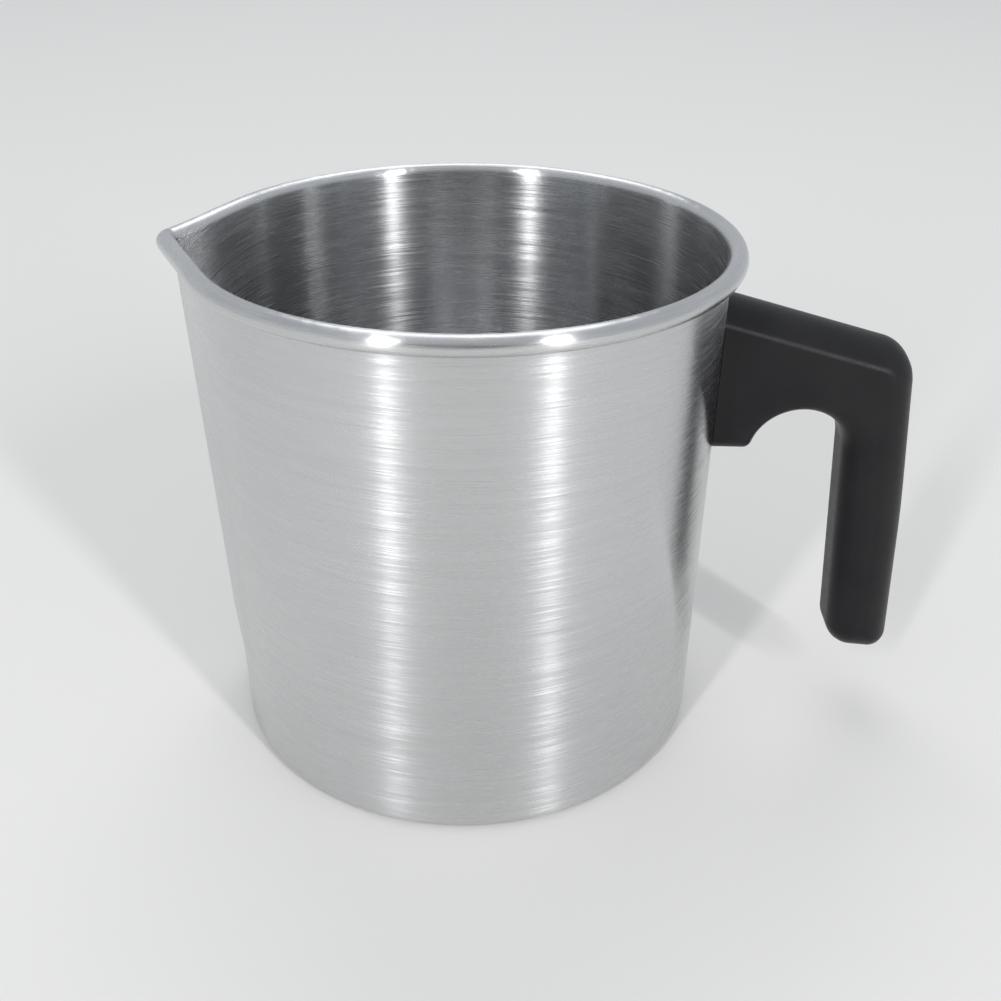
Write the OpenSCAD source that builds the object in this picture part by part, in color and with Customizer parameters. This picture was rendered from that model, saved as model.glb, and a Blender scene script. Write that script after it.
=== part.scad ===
// Candle melting pot: a drawn aluminium pot with a rolled rim and a pressed pouring spout,
// and a moulded handle that is screwed to a riveted bracket.
// Z = 0 is the table and the pot's axis is the Z axis. The handle points to +X, the spout to -X.

/* [Pot] */
// Outside diameter of the wall
body_d = 120; // [100:1:160]
// Height from the table to the top of the rim
body_h = 126; // [105:1:170]
// Thickness of the sheet in the wall
wall_t = 1; // [0.8:0.1:1.4]
// Thickness of the sheet in the base
base_t = 1.2; // [0.8:0.1:2.5]
// Outside radius of the corner between the wall and the base
corner_r = 3; // [2:0.5:6]

/* [Rolled rim] */
// Outside radius of the rolled bead
bead_r = 2.2; // [1.8:0.1:3]
// Gap between the curled edge of the sheet and the wall
curl_gap = 0.15; // [0.1:0.05:0.4]

/* [Spout] */
// How far the tip of the spout stands out from the wall, at the rim
spout_reach = 7.1; // [5:0.1:10]
// How far the crease stands out from the wall just above its foot
spout_heel_reach = 3.9; // [2:0.1:4.5]
// Height of the foot, where the crease leaves the round wall
spout_foot_z = 12; // [8:1:30]
// Height that the crease takes to come out to its heel
spout_heel_h = 9; // [6:1:20]
// Outside radius along the crease
spout_tip_r = 3; // [2:0.5:8]
// How much lower the lip is at the tip
spout_dip = 1.2; // [0:0.1:3]

/* [Handle] */
// Thickness of the handle from side to side
handle_t = 20; // [18:0.5:26]
// Distance from the top of the rim down to the top of the handle, at the wall
handle_drop = 13; // [8:0.5:20]
// Downward slope of the top of the arm, in degrees
arm_slope = 15; // [5:1:20]
// Height of the face that rests against the wall
heel_h = 36.5; // [34:0.5:48]
// How far the heel stands out from the wall at its bottom
heel_w = 8.6; // [8.4:0.1:12]
// Distance from the wall to the grip at the top of the finger gap
finger_gap = 30.8; // [29:0.5:42]
// Rise of the finger gap above the bottom of the heel
arch_rise = 10.3; // [8:0.1:12]
// Width of the grip, from the finger gap to the outside
grip_w = 15.6; // [12:0.1:20]
// Outward lean of the grip, in degrees
grip_lean = 4.6; // [0:0.2:8]
// Outward bow of the grip's outer edge
grip_bow = 0.8; // [0:0.1:2]
// Height of the grip's lower end above the table
grip_end_z = 17.6; // [10:0.2:40]
// Radius of the outer corner between the arm and the grip
elbow_r = 9; // [6:0.5:16]
// Radius of the finger gap under the arm
arch_r = 12; // [6:0.5:14]
// Radius of the heel's lower corner
heel_r = 2.5; // [1:0.5:4]
// Radius of the grip end's inner corner
end_inner_r = 6.5; // [4:0.5:7]
// Radius of the grip end's outer corner
end_outer_r = 5; // [4:0.5:7]
// Radius of the long edges of the heel and the arm
edge_r = 4; // [2:0.5:5]
// Radius of the long edges of the grip, kept within its width
grip_edge_r = 7; // [3:0.5:7]
// Height of the rounding along the top of the arm
crown_h = 5.5; // [3:0.5:6]

/* [Bracket] */
// Thickness of the bracket strip
bracket_t = 1.5; // [1:0.1:2]
// Inside radius of the bracket's bends
bend_r = 1; // [0.5:0.1:1.5]
// Reach of the two tabs past the screw's shank
tab_margin = 2; // [1.5:0.1:2.5]
// Thickness of the handle between the lower tab and the flat washer
pad_t = 3.6; // [3:0.1:5]
// Thickness of the handle above the bracket, at the wall
roof_t = 5.2; // [4:0.1:6]
// Thickness of the handle beside the bracket
side_t = 2.7; // [2:0.1:4]

/* [Fasteners] */
// Diameter of the rivet shanks
rivet_d = 4; // [3:0.5:5]
// Diameter of the rivet heads
rivet_head_d = 7; // [6:0.5:8]
// Height of the rivet heads
rivet_head_h = 1.5; // [1:0.1:2]
// Diameter of the handle screw
screw_d = 3; // [2.5:0.5:4]
// Diameter of the screw's head
screw_head_d = 5.6; // [5:0.1:6]
// Height of the screw's head
screw_head_h = 2.2; // [1.6:0.1:3]
// How deep the screw's head sits inside the heel
screw_sink = 0.8; // [0.2:0.1:2]
// Outside diameter of the flat washer
washer_d = 6; // [5.6:0.1:6.6]
// Thickness of the flat washer
washer_t = 0.5; // [0.3:0.1:1]
// Outside diameter of the spring washer
spring_d = 5.6; // [5:0.1:6]
// Thickness of the spring washer
spring_t = 0.9; // [0.6:0.1:1.4]

/* [Fits] */
// Radial clearance of the screw in the bracket's tapped hole
thread_gap = 0.05; // [0.02:0.01:0.08]
// Radial clearance of the screw in the handle and the washers
screw_gap = 0.15; // [0.1:0.05:0.3]
// Clearance around the bracket in the handle's pocket
pocket_gap = 0.3; // [0.1:0.1:0.5]
// Gap between the handle and the wall
seat_gap = 0.1; // [0.05:0.05:0.3]
// Radial clearance of the flat washer in its counterbore
bore_gap = 0.25; // [0.1:0.05:0.4]

/* [Hidden] */
$fn = 96;

// A small overlap that lets one solid cut cleanly through another
over = 1;

// --- pot ---
body_r = body_d / 2;
bead_z = body_h - bead_r;
curl_end = -acos((wall_t + curl_gap) / bead_r - 1);
bead_steps = 18;

// Half of the sector that is formed into the spout, in degrees
spout_span = 32;
spout_levels = 14;
round_steps = 12;
side_steps = 4;
tip_steps = 8;
// How far the formed sector laps over the round wall, and how much fuller it is
seam_angle = 0.5;
seam_lap = 0.5;
seam_grow = 0.03;
// The crease is this much rounder at its foot, and stands out this little there
spout_foot_r = 20;
spout_foot_reach = 0.03;

// --- handle ---
handle_top_z = body_h - handle_drop;
heel_z = handle_top_z - heel_h;
arch_z = heel_z + arch_rise;
arch_x = body_r + finger_gap;
// The handle's outline starts this far inside the wall, and the wall's curve cuts it off
buried = 8;
// Slope of the heel's side, from the vertical, in degrees
heel_slope = 17;
// Radius that blends the two halves of the bowed outer edge
bow_r = 400;
// Smallest radius that an outer corner keeps as the outline moves inwards
least_corner_r = 0.6;
// Too small to matter: two edges that turn by less than this count as one straight line, and it
// keeps a corner that takes up no length from dividing by zero
straight = 0.0001;
edge_steps = 8;
// Least flat strip left between the grip's two rounded edges
grip_flat = 1;
// Rounding of the grip's long edges, no more than its width leaves room for
grip_round = min(grip_edge_r, (grip_w - grip_flat) / 2, handle_t / 2 - grip_flat);
corner_steps = 8;

// --- bracket and fasteners ---
// Thickness of the handle between the counterbore and the wall
bore_skin = 0.75;
bore_r = washer_d / 2 + bore_gap;
bore_h = screw_sink + screw_head_h + spring_t + washer_t;
bore_z = heel_z + bore_h;
screw_x = body_r + bore_skin + bore_r;
screw_seat_z = bore_z - washer_t - spring_t;
tab_reach = screw_x - body_r + screw_d / 2 + tab_margin;
bracket_w = handle_t - 2 * (side_t + pocket_gap);
bracket_z = bore_z + pad_t;
bracket_h = handle_top_z - roof_t - pocket_gap - bracket_z;
// The collar is drawn up out of the lower tab, and is tapped for the screw
collar_h = 1.5;
collar_t = 1.3;
screw_l = washer_t + spring_t + pad_t + bracket_t + collar_h;
// Gap between a rivet's head and the collar or the bend next to it
rivet_room = 0.5;
rivet_inset = rivet_room + rivet_head_d / 2 + bracket_t;
lower_rivet_z = bracket_z + collar_h + rivet_inset;
upper_rivet_z = bracket_z + bracket_h - bend_r - rivet_inset;
rivet_zs = [lower_rivet_z, upper_rivet_z];
// Straight edge of the screw's head, below its dome
head_edge_h = 1.2;
// Length, width and depth of the cross recess in the screw's head
cross_l = 3.4;
cross_w = 0.7;
cross_h = 1.2;
// Angle that the cut in the spring washer takes
split_angle = 8;

aluminium = [0.76, 0.77, 0.78];
zinc_steel = [0.62, 0.63, 0.64];
black_phenolic = [0.10, 0.10, 0.11];

// ---------------------------------------------------------------- helpers

function mix(a, b, t) = a + (b - a) * t;
function clamp01(t) = max(0, min(1, t));
function smooth(t) = let(c = clamp01(t)) c * c * (3 - 2 * c);

// Points of an arc about a centre, from angle a0 to angle a1
function arc(centre, r, a0, a1, steps) = [
    for (i = [0:steps]) let(a = mix(a0, a1, i / steps)) centre + r * [cos(a), sin(a)]
];

function unit(v) = v / norm(v);
function left_of(v) = [-v[1], v[0]];
function cross2(a, b) = a[0] * b[1] - a[1] * b[0];

// A closed skin over rings of points that all have the same count.
// cap lists the triangles that close a ring, wound the same way as the ring.
module skin(rings, cap) {
    ring_n = len(rings[0]);
    last = (len(rings) - 1) * ring_n;
    sides = [
        for (j = [0:ring_n:last - ring_n], k = [0:ring_n - 1])
            let(
                a = j + k,
                b = j + (k + 1) % ring_n
            )
            each [[a, b, b + ring_n], [a, b + ring_n, a + ring_n]]
    ];
    first_cap = [for (t = cap) [t[2], t[1], t[0]]];
    last_cap = [for (t = cap) [t[0] + last, t[1] + last, t[2] + last]];
    polyhedron(points = [for (ring = rings) each ring], faces = concat(first_cap, sides, last_cap));
}

// Triangles that fill a flat outline: cut off one ear after another, idx being the points left
function ears(pts, idx) =
    len(idx) == 3 ? [idx] :
    let(k = first_ear(pts, idx, 0), n = len(idx))
    concat(
        [[idx[(k + n - 1) % n], idx[k], idx[(k + 1) % n]]],
        ears(pts, [for (i = [0:n - 1]) if (i != k) idx[i]])
    );
function first_ear(pts, idx, k) =
    k == len(idx) - 1 || is_ear(pts, idx, k) ? k : first_ear(pts, idx, k + 1);
function is_ear(pts, idx, k) =
    let(
        n = len(idx),
        before = (k + n - 1) % n,
        after = (k + 1) % n,
        a = pts[idx[before]],
        b = pts[idx[k]],
        c = pts[idx[after]],
        held = [
            for (i = [0:n - 1])
                if (i != before && i != k && i != after && in_triangle(pts[idx[i]], a, b, c)) i
        ]
    )
    cross2(b - a, c - b) > straight && len(held) == 0;
function in_triangle(p, a, b, c) =
    cross2(b - a, p - a) >= 0 && cross2(c - b, p - b) >= 0 && cross2(a - c, p - c) >= 0;

// ---------------------------------------------------------------- pot

// Section of the upper wall and its rolled bead, as [distance outside the wall, height].
// The sheet runs up, over and round, and its edge stops just short of the wall.
// grow makes the sheet thicker on both faces.
function rim_section(foot_z, levels, grow) =
    let(
        centre = [bead_r - wall_t, bead_z],
        wall_zs = [for (i = [0:levels - 1]) mix(foot_z, bead_z, i / levels)]
    )
    concat(
        [for (z = wall_zs) [-wall_t - grow, z]],
        arc(centre, bead_r + grow, 180, curl_end, bead_steps),
        arc(centre, bead_r - wall_t - grow, curl_end, 180, bead_steps),
        [for (i = [levels - 1:-1:0]) [grow, wall_zs[i]]]
    );

// How far the crease has come out at height z, from 0 at its foot to 1 at its heel
function crease_out(z) = smooth((z - spout_foot_z) / spout_heel_h);
function crease_reach(z) =
    let(
        crease_heel_z = spout_foot_z + spout_heel_h,
        above = max(0, (z - crease_heel_z) / (bead_z - crease_heel_z))
    )
    mix(spout_foot_reach, mix(spout_heel_reach, spout_reach, above), crease_out(z));
function crease_r(z) = mix(spout_foot_r, spout_tip_r, crease_out(z));

// At each height the wall is a line wrapped round the body circle and a small tip circle.
// Sample j gives [centre x, radius, angle of the wall's normal, share of the way to the tip].
function wrap_sample(j, z) =
    let(
        tip_r = crease_r(z),
        tip_x = body_r + crease_reach(z) - tip_r,
        tangent = acos((body_r - tip_r) / tip_x),
        side = round_steps + side_steps,
        mirrored = j > side + tip_steps,
        i = mirrored ? 2 * side + tip_steps - j : j,
        turn = mirrored ? 1 : -1,
        u = (i - round_steps) / side_steps
    )
    i <= round_steps ? [0, body_r, turn * mix(spout_span + seam_angle, tangent, i / round_steps), 0] :
    i < side ? [tip_x * u, mix(body_r, tip_r, u), turn * tangent, u] :
    [tip_x, tip_r, mix(-tangent, tangent, (i - side) / tip_steps), 1];

function spout_point(j, section_point) =
    let(
        z = section_point[1],
        s = wrap_sample(j, min(z, bead_z)),
        out = s[1] + section_point[0],
        dip = spout_dip * smooth(s[3]) * smooth((z - body_h / 2) / (bead_z - body_h / 2))
    )
    [-s[0] - out * cos(s[2]), out * sin(s[2]), z - dip];

// The formed sector. It laps over the round wall by a little and is a touch thicker,
// so that the faces of the two never coincide.
module spout_sector() {
    section = rim_section(spout_foot_z - seam_lap, spout_levels, seam_grow);
    last_sample = 2 * (round_steps + side_steps) + tip_steps;
    last_point = len(section) - 1;
    cap = [
        for (k = [0:last_point / 2 - 1])
            each [[k, k + 1, last_point - k - 1], [k, last_point - k - 1, last_point - k]]
    ];
    skin([for (j = [0:last_sample]) [for (p = section) spout_point(j, p)]], cap);
}

// Half-plane section of the round pot: base, corner, wall and rolled bead
module pot_section() {
    inner_r = body_r - wall_t;
    inner_corner = corner_r - wall_t;
    difference() {
        union() {
            square([body_r - corner_r, corner_r]);
            translate([0, corner_r]) square([body_r, spout_foot_z - corner_r]);
            translate([body_r - corner_r, corner_r]) circle(r = corner_r);
        }
        translate([0, base_t + inner_corner]) square([inner_r, spout_foot_z]);
        translate([0, base_t]) square([inner_r - inner_corner, spout_foot_z]);
        translate([inner_r - inner_corner, base_t + inner_corner]) circle(r = inner_corner);
    }
    translate([body_r, 0]) polygon(rim_section(corner_r + over, 1, 0));
}

module pot_body() color(aluminium) {
    far = 2 * body_d;
    difference() {
        union() {
            difference() {
                rotate_extrude($fn = 180) pot_section();
                translate([0, 0, spout_foot_z]) linear_extrude(body_h)
                    polygon([[0, 0], for (a = [-spout_span, 0, spout_span]) -far * [cos(a), sin(a)]]);
            }
            spout_sector();
        }
        for (z = rivet_zs) rivet_shank(z, body_r - wall_t - over, body_r + over);
    }
}

// ---------------------------------------------------------------- bracket

// Half-plane section of the bracket: an upright web with a tab bent out at each end
module bracket_section() {
    outer = bend_r + bracket_t;
    difference() {
        union() {
            translate([body_r, bracket_z + outer]) square([bracket_t, bracket_h - 2 * outer]);
            for (end = [0, 1]) {
                corner_z = end == 0 ? bracket_z + outer : bracket_z + bracket_h - outer;
                tab_z = end == 0 ? bracket_z : bracket_z + bracket_h - bracket_t;
                translate([body_r + outer, corner_z]) circle(r = outer);
                translate([body_r + outer, tab_z]) square([tab_reach - outer, bracket_t]);
            }
        }
        for (corner_z = [bracket_z + outer, bracket_z + bracket_h - outer])
            translate([body_r + outer, corner_z]) circle(r = bend_r);
        translate([body_r + bracket_t, bracket_z + bracket_t + bend_r])
            square([outer * 2, bracket_h - 2 * (bracket_t + bend_r)]);
        translate([body_r + outer, bracket_z + bracket_t])
            square([outer * 2, bracket_h - 2 * bracket_t]);
    }
}

module handle_bracket() color(zinc_steel) {
    difference() {
        union() {
            intersection() {
                rotate_extrude($fn = 180) bracket_section();
                translate([0, -bracket_w / 2, 0]) cube([body_d, bracket_w, body_h]);
            }
            translate([screw_x, 0, bracket_z + bracket_t / 2])
                cylinder(d = screw_d + 2 * collar_t, h = bracket_t / 2 + collar_h);
        }
        translate([screw_x, 0, bracket_z - over])
            cylinder(d = screw_d + 2 * thread_gap, h = bracket_t + collar_h + 2 * over);
        for (z = rivet_zs) rivet_shank(z, body_r - over, body_r + bracket_t + over);
    }
}

// ---------------------------------------------------------------- rivets

module rivet_shank(z, x0, x1) {
    translate([x0, 0, z]) rotate([0, 90, 0]) cylinder(d = rivet_d, h = x1 - x0);
}

// A rivet on the +Z axis: a flat-backed domed head below z = 0 and one above z = grip_l
module rivet_shape(grip_l) {
    head_r = rivet_head_d / 2;
    dome_r = (pow(head_r, 2) + pow(rivet_head_h, 2)) / (2 * rivet_head_h);
    rotate_extrude() intersection() {
        union() {
            square([rivet_d / 2, grip_l]);
            intersection() {
                translate([0, dome_r - rivet_head_h]) circle(r = dome_r);
                translate([0, -rivet_head_h]) square([head_r, rivet_head_h]);
            }
            intersection() {
                translate([0, grip_l + rivet_head_h - dome_r]) circle(r = dome_r);
                translate([0, grip_l]) square([head_r, rivet_head_h]);
            }
        }
        translate([0, -rivet_head_h]) square([head_r, grip_l + 2 * rivet_head_h]);
    }
}

// The wall bends away from the inner head's flat back, which rests on it at its two sides
module rivet(z) color(aluminium) {
    inner_r = body_r - wall_t;
    back_x = sqrt(pow(inner_r, 2) - pow(rivet_head_d / 2, 2));
    translate([back_x, 0, z]) rotate([0, 90, 0]) rivet_shape(body_r + bracket_t - back_x);
}

module upper_rivet() rivet(upper_rivet_z);
module lower_rivet() rivet(lower_rivet_z);

// ---------------------------------------------------------------- handle

// Corners of the handle's outline seen from the side, anticlockwise, each as
// [x, z, corner radius, depth and width of the rounding along the edge that starts there]
function handle_corners() =
    let(
        lean = tan(grip_lean),
        slope = tan(arm_slope),
        heel_x = body_r + heel_w,
        across = grip_w / cos(grip_lean),
        end_x = arch_x + (arch_z - grip_end_z) * lean,
        end_drop = grip_w * lean,
        outer_x = arch_x + across + lean * (arch_z - handle_top_z - body_r * slope),
        elbow_x = outer_x / (1 - lean * slope) - grip_bow,
        elbow_z = handle_top_z - (elbow_x - body_r) * slope,
        bow_x = mix(end_x + across, elbow_x, 0.5) + grip_bow,
        bow_z = mix(grip_end_z - end_drop, elbow_z, 0.5)
    )
    [
        [body_r - buried, heel_z, 0, edge_r, edge_r],
        [heel_x, heel_z, heel_r, edge_r, edge_r],
        [heel_x + arch_rise * tan(heel_slope), arch_z, arch_r, edge_r, edge_r],
        [arch_x, arch_z, arch_r, grip_round, grip_round],
        [end_x, grip_end_z, end_inner_r, grip_round, grip_round],
        [end_x + across, grip_end_z - end_drop, end_outer_r, grip_round, grip_round],
        [bow_x, bow_z, bow_r, grip_round, grip_round],
        [elbow_x, elbow_z, elbow_r, crown_h, edge_r],
        [body_r - buried, handle_top_z + buried * slope, 0, edge_r, edge_r]
    ];

// Where the two edges that meet at a corner cross once each has moved inwards
function inset_corner(p, before, after, d_before, d_after) =
    let(
        n0 = left_of(before),
        n1 = left_of(after),
        q0 = p + n0 * d_before,
        q1 = p + n1 * d_after,
        t = cross2(q1 - q0, after) / cross2(before, after)
    )
    q0 + before * t;

// How far an edge's rounding has brought it in, at a distance y from the handle's middle plane
function edge_inset(depth, width, y) =
    let(past = max(0, abs(y) - handle_t / 2 + width) / width)
    depth * (1 - sqrt(max(0, 1 - past * past)));

// Outline of the handle at a distance y from its middle plane
function handle_ring(y) =
    let(
        c = handle_corners(),
        n = len(c),
        pts = [for (p = c) [p[0], p[1]]],
        shift = [for (p = c) edge_inset(p[3], p[4], y)],
        across = [for (p = c) edge_inset(p[4], p[4], y)],
        dirs = [for (i = [0:n - 1]) unit(pts[(i + 1) % n] - pts[i])],
        moved = [for (i = [0:n - 1])
            let(j = (i + n - 1) % n) inset_corner(pts[i], dirs[j], dirs[i], shift[j], shift[i])],
        turns = [for (i = [0:n - 1]) cross2(dirs[(i + n - 1) % n], dirs[i])],
        radii = [for (i = [0:n - 1])
            inset_radius(c[i][2], turns[i], mix(across[(i + n - 1) % n], across[i], 0.5))]
    )
    [for (i = [0:n - 1]) each rounded_corner(
        moved[(i + n - 1) % n], moved[i], moved[(i + 1) % n], radii[i],
        room = corner_room(moved, radii, i))];

// A corner's radius once the outline has moved inwards: smaller on an outer corner
function inset_radius(r, turn, d) =
    r == 0 ? 0 :
    turn > 0 ? max(r - d, least_corner_r) : r + d;

// Length along an edge that a corner's rounding takes up
function tangent_length(a, p, b, r) = r * tan(turn_angle(a, p, b) / 2);
function turn_angle(a, p, b) = acos(max(-1, min(1, unit(p - a) * unit(b - p))));

// The share of its radius that a corner may keep so that its neighbours' roundings have room
function corner_room(pts, radii, i) =
    let(
        n = len(pts),
        take = function(k) let(m = (k + n) % n)
            tangent_length(pts[(m + n - 1) % n], pts[m], pts[(m + 1) % n], radii[m]),
        before = norm(pts[i] - pts[(i + n - 1) % n]),
        after = norm(pts[(i + 1) % n] - pts[i])
    )
    min(1, before / (take(i) + take(i - 1) + straight), after / (take(i) + take(i + 1) + straight));

function rounded_corner(a, p, b, r, room) =
    r == 0 ? [p] :
    let(
        rr = r * room,
        t = tangent_length(a, p, b, rr),
        d0 = unit(p - a),
        d1 = unit(b - p),
        bend = cross2(d0, d1) > 0 ? 1 : -1,
        centre = p - d0 * t + left_of(d0) * rr * bend,
        a0 = atan2(-left_of(d0)[1] * bend, -left_of(d0)[0] * bend),
        sweep = turn_angle(a, p, b) * bend
    )
    arc(centre, rr, a0, a0 + sweep, corner_steps);

// The moulded handle before it is cut: its outline carried across, with rounded long edges
module handle_blank() {
    flat_ring = handle_ring(handle_t / 2);
    skin(
        [
            for (side = [-1, 1], i = [0:edge_steps])
                let(
                    a = 90 * (side < 0 ? i : edge_steps - i) / edge_steps,
                    y = side * (handle_t / 2 - max(edge_r, grip_round) * (1 - cos(a)))
                )
                [for (p = handle_ring(y)) [p[0], y, p[1]]]
        ],
        ears(flat_ring, [for (i = [0:len(flat_ring) - 1]) i])
    );
}

module handle() color(black_phenolic) {
    pocket_w = bracket_w + 2 * pocket_gap;
    difference() {
        handle_blank();
        cylinder(r = body_r + seat_gap, h = body_h, $fn = 180);
        translate([body_r - buried, -pocket_w / 2, bracket_z])
            cube([buried + tab_reach + pocket_gap, pocket_w, bracket_h + pocket_gap]);
        translate([screw_x, 0, bore_z - over])
            cylinder(d = screw_d + 2 * screw_gap, h = pad_t + 2 * over);
        translate([screw_x, 0, heel_z - over]) cylinder(r = bore_r, h = bore_h + over);
    }
}

// ---------------------------------------------------------------- screw and washers

module flat_washer() color(zinc_steel) {
    translate([screw_x, 0, bore_z - washer_t]) difference() {
        cylinder(d = washer_d, h = washer_t);
        translate([0, 0, -over]) cylinder(d = screw_d + 2 * screw_gap, h = washer_t + 2 * over);
    }
}

module spring_washer() color(zinc_steel) {
    hole_r = screw_d / 2 + screw_gap;
    translate([screw_x, 0, screw_seat_z])
        rotate([0, 0, split_angle / 2])
            rotate_extrude(angle = 360 - split_angle)
                translate([hole_r, 0]) square([spring_d / 2 - hole_r, spring_t]);
}

module handle_screw() color(zinc_steel) {
    dome_h = screw_head_h - head_edge_h;
    dome_r = (pow(screw_head_d / 2, 2) + pow(dome_h, 2)) / (2 * dome_h);
    translate([screw_x, 0, screw_seat_z]) difference() {
        union() {
            cylinder(d = screw_d, h = screw_l);
            intersection() {
                translate([0, 0, -screw_head_h]) cylinder(d = screw_head_d, h = screw_head_h);
                translate([0, 0, dome_r - screw_head_h]) sphere(r = dome_r);
            }
        }
        for (turn = [0, 90])
            rotate([0, 0, turn])
                translate([-cross_l / 2, -cross_w / 2, -screw_head_h - over])
                    cube([cross_l, cross_w, cross_h + over]);
    }
}

pot_body();
handle_bracket();
upper_rivet();
lower_rivet();
handle();
flat_washer();
spring_washer();
handle_screw();
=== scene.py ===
"""Candle melting pot: the finished surfaces of a drawn aluminium pot and its moulded handle.

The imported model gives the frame, and every size here is in metres in that frame: Z is the pot's
axis, Z = 0 is the table, the handle points to +X and the spout to -X.
"""

import logging
import math
from dataclasses import dataclass, field
from enum import Enum
from typing import Iterable, Sequence

import bmesh
import bpy
from mathutils import Matrix, Vector, noise


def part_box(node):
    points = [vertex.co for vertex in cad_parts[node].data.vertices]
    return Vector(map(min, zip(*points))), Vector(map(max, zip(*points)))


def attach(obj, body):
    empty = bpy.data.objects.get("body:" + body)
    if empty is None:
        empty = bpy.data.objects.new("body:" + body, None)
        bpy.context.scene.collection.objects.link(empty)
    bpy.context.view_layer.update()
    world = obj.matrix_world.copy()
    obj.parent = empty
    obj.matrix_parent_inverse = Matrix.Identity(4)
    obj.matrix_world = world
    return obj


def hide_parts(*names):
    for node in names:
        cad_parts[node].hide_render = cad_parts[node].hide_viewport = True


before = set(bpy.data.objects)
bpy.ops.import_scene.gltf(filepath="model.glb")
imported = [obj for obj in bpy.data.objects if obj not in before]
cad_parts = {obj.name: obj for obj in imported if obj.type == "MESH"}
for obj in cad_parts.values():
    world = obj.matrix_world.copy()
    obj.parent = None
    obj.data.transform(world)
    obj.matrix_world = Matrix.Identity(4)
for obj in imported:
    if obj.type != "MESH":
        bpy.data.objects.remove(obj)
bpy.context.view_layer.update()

MM = 0.001
ROOT_BODY = "root"
GRAIN_MAP = "grain"

log = logging.getLogger("melting_pot")


class Slot(Enum):
    """The record's material slots."""

    POT = "spun_aluminium"
    RIVET = "rivet_aluminium"
    HANDLE = "black_phenolic"
    STEEL = "zinc_plated_steel"


# ------------------------------------------------------------------------------ small sums


def mix(a: float, b: float, share: float) -> float:
    """Return the value that lies the given share of the way from a to b."""
    return a + (b - a) * share


def smooth(share: float) -> float:
    """Return the share eased at both ends, and held between 0 and 1."""
    held = max(0.0, min(1.0, share))
    return held * held * (3.0 - 2.0 * held)


def steps(first: float, last: float, count: int, with_last: bool = True) -> list[float]:
    """Return evenly spaced values.

    Args:
        first: The first value.
        last: The value that the last step ends at.
        count: How many steps there are between the two.
        with_last: Whether the last value is listed too.

    Returns:
        The values, in order.
    """
    return [mix(first, last, i / count) for i in range(count + (1 if with_last else 0))]


# ------------------------------------------------------------------------------ meshes


def smooth_mesh(
    name: str, points: Sequence[Vector], faces: Sequence[Sequence[int]], crease_deg: float
) -> bpy.types.Object:
    """Make a smooth-shaded object whose sharp turns stay crisp.

    Args:
        name: The piece's name.
        points: Its vertices, in the row's frame.
        faces: Its faces, wound anticlockwise seen from outside.
        crease_deg: The turn between two faces past which their edge is sharp.

    Returns:
        The new object, linked to the scene.
    """
    mesh = bpy.data.meshes.new(name)
    mesh.from_pydata([tuple(p) for p in points], [], [tuple(f) for f in faces])
    mesh.validate()
    mesh.polygons.foreach_set("use_smooth", [True] * len(mesh.polygons))
    mesh.set_sharp_from_angle(angle=math.radians(crease_deg))
    mesh.update()
    piece = bpy.data.objects.new(name, mesh)
    bpy.context.scene.collection.objects.link(piece)
    return piece


def ring_faces(first: int, second: int, count: int) -> list[tuple[int, int, int, int]]:
    """Return the quads that join two closed rings of points.

    Args:
        first: The index of the first ring's first point.
        second: The index of the second ring's first point.
        count: How many points each ring has.

    Returns:
        One quad for each pair of neighbouring points.
    """
    return [(first + i, first + (i + 1) % count, second + (i + 1) % count, second + i) for i in range(count)]


# ------------------------------------------------------------------------------ node helpers


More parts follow.
